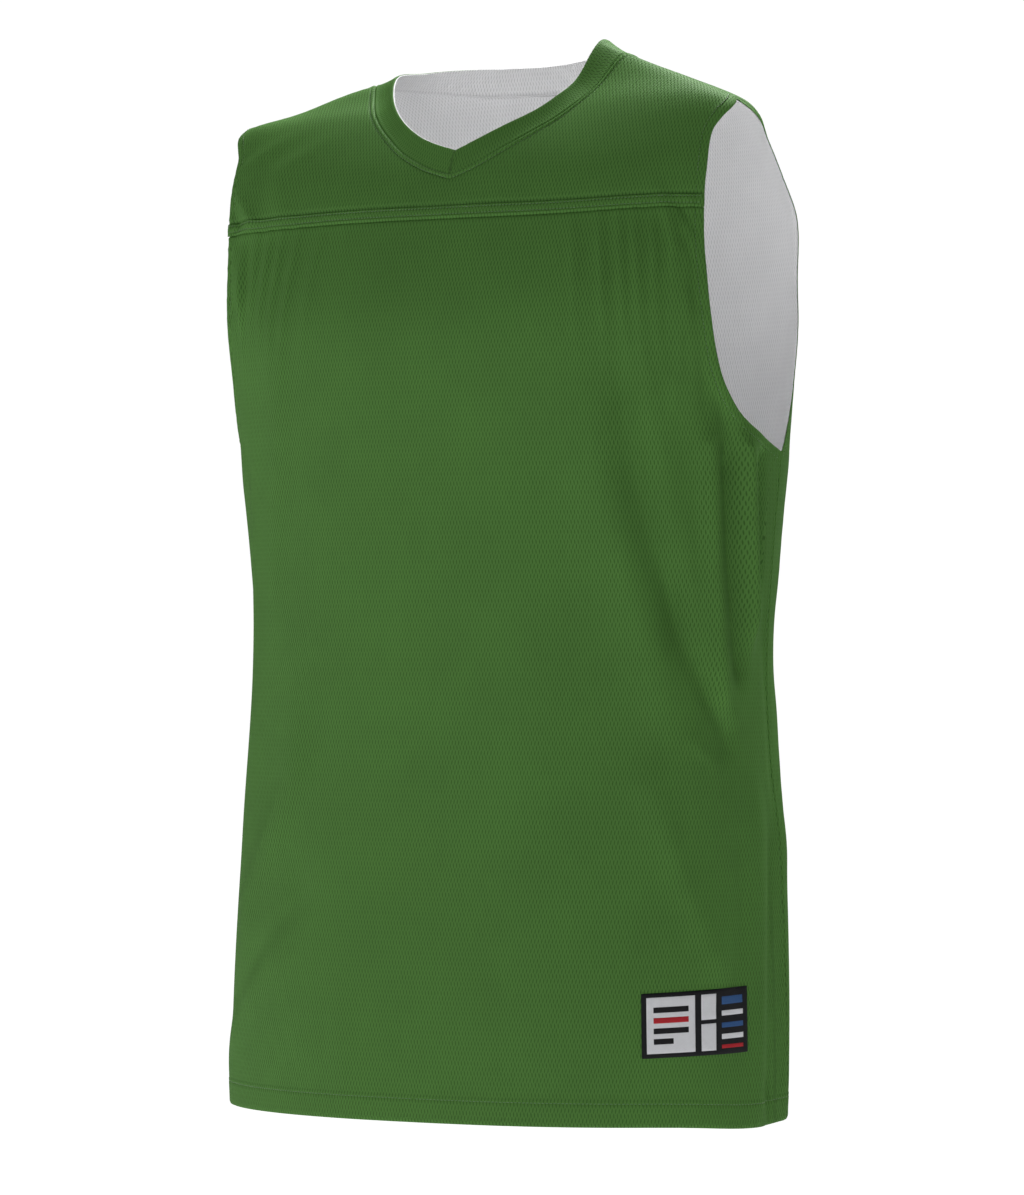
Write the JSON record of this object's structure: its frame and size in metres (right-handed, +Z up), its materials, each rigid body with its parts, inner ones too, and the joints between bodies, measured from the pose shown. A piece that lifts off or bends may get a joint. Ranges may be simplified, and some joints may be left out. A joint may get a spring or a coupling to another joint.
{
  "type": "basketball jersey",
  "caption": "Sleeveless reversible jersey filled out as worn, with V neckband, yoke seam, open armholes and hem, white lining and a woven patch near the hem.",
  "frame": {"origin": "midway between the two shoulder points beside the neckband, where the wearer's shoulders carry the jersey", "axes": "+Z up; the front of the jersey faces -Y; the wearer's left side is +X"},
  "size_m": [0.4427, 0.2807, 0.7988],
  "materials": {
    "shell_cloth": "soft sheen, small mesh weave",
    "lining_cloth": "soft sheen, small mesh weave",
    "woven_patch": "fine woven, matte"
  },
  "bodies": {
    "root": {"front_body": "shell_cloth", "front_yoke": "shell_cloth", "back": "shell_cloth", "neckband": "shell_cloth", "lining_front": "lining_cloth", "lining_back": "lining_cloth", "lining_neckband": "lining_cloth", "size_patch": "woven_patch"}
  },
  "joints": []
}
